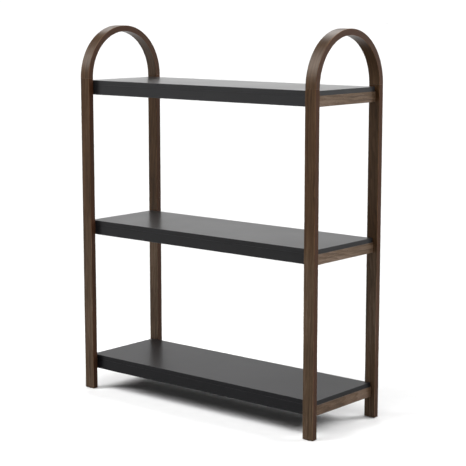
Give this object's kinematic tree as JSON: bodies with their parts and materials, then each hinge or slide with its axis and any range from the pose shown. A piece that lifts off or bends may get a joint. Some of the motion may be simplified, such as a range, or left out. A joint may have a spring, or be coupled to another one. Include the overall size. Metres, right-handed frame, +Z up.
{
  "type": "open shelf unit",
  "caption": "Free-standing open shelf unit with black boards carried on walnut side rails between bentwood end frames whose legs join in an arch above the top shelf.",
  "frame": {"origin": "on the floor, under the middle of the unit", "axes": "+X along the shelves to the right seen from the front, -Y towards the front, +Z up"},
  "size_m": [0.794, 0.28, 1],
  "materials": {
    "walnut": "dark walnut veneer and solid walnut, satin lacquer, grain along each piece",
    "black_board": "black painted fibreboard, fine matt texture",
    "dowel_wood": "beech, uncoated",
    "bolt_steel": "zinc plated",
    "nut_brass": "plain turned brass",
    "glide_nylon": "dark brown moulded nylon"
  },
  "bodies": {
    "root": {"left_arch": "walnut", "left_front_leg": "walnut", "left_rear_leg": "walnut", "left_top_rail": "walnut", "left_middle_rail": "walnut", "left_bottom_rail": "walnut", "left_arch_dowels": "dowel_wood", "left_rail_dowels": "dowel_wood", "right_arch": "walnut", "right_front_leg": "walnut", "right_rear_leg": "walnut", "right_top_rail": "walnut", "right_middle_rail": "walnut", "right_bottom_rail": "walnut", "right_arch_dowels": "dowel_wood", "right_rail_dowels": "dowel_wood", "top_shelf_panel": "black_board", "top_front_apron": "black_board", "top_rear_apron": "black_board", "top_apron_dowels": "dowel_wood", "top_shelf_bolts": "bolt_steel", "top_insert_nuts": "nut_brass", "middle_shelf_panel": "black_board", "middle_front_apron": "black_board", "middle_rear_apron": "black_board", "middle_apron_dowels": "dowel_wood", "middle_shelf_bolts": "bolt_steel", "middle_insert_nuts": "nut_brass", "bottom_shelf_panel": "black_board", "bottom_front_apron": "black_board", "bottom_rear_apron": "black_board", "bottom_apron_dowels": "dowel_wood", "bottom_shelf_bolts": "bolt_steel", "bottom_insert_nuts": "nut_brass", "floor_glides": "glide_nylon"}
  },
  "joints": []
}
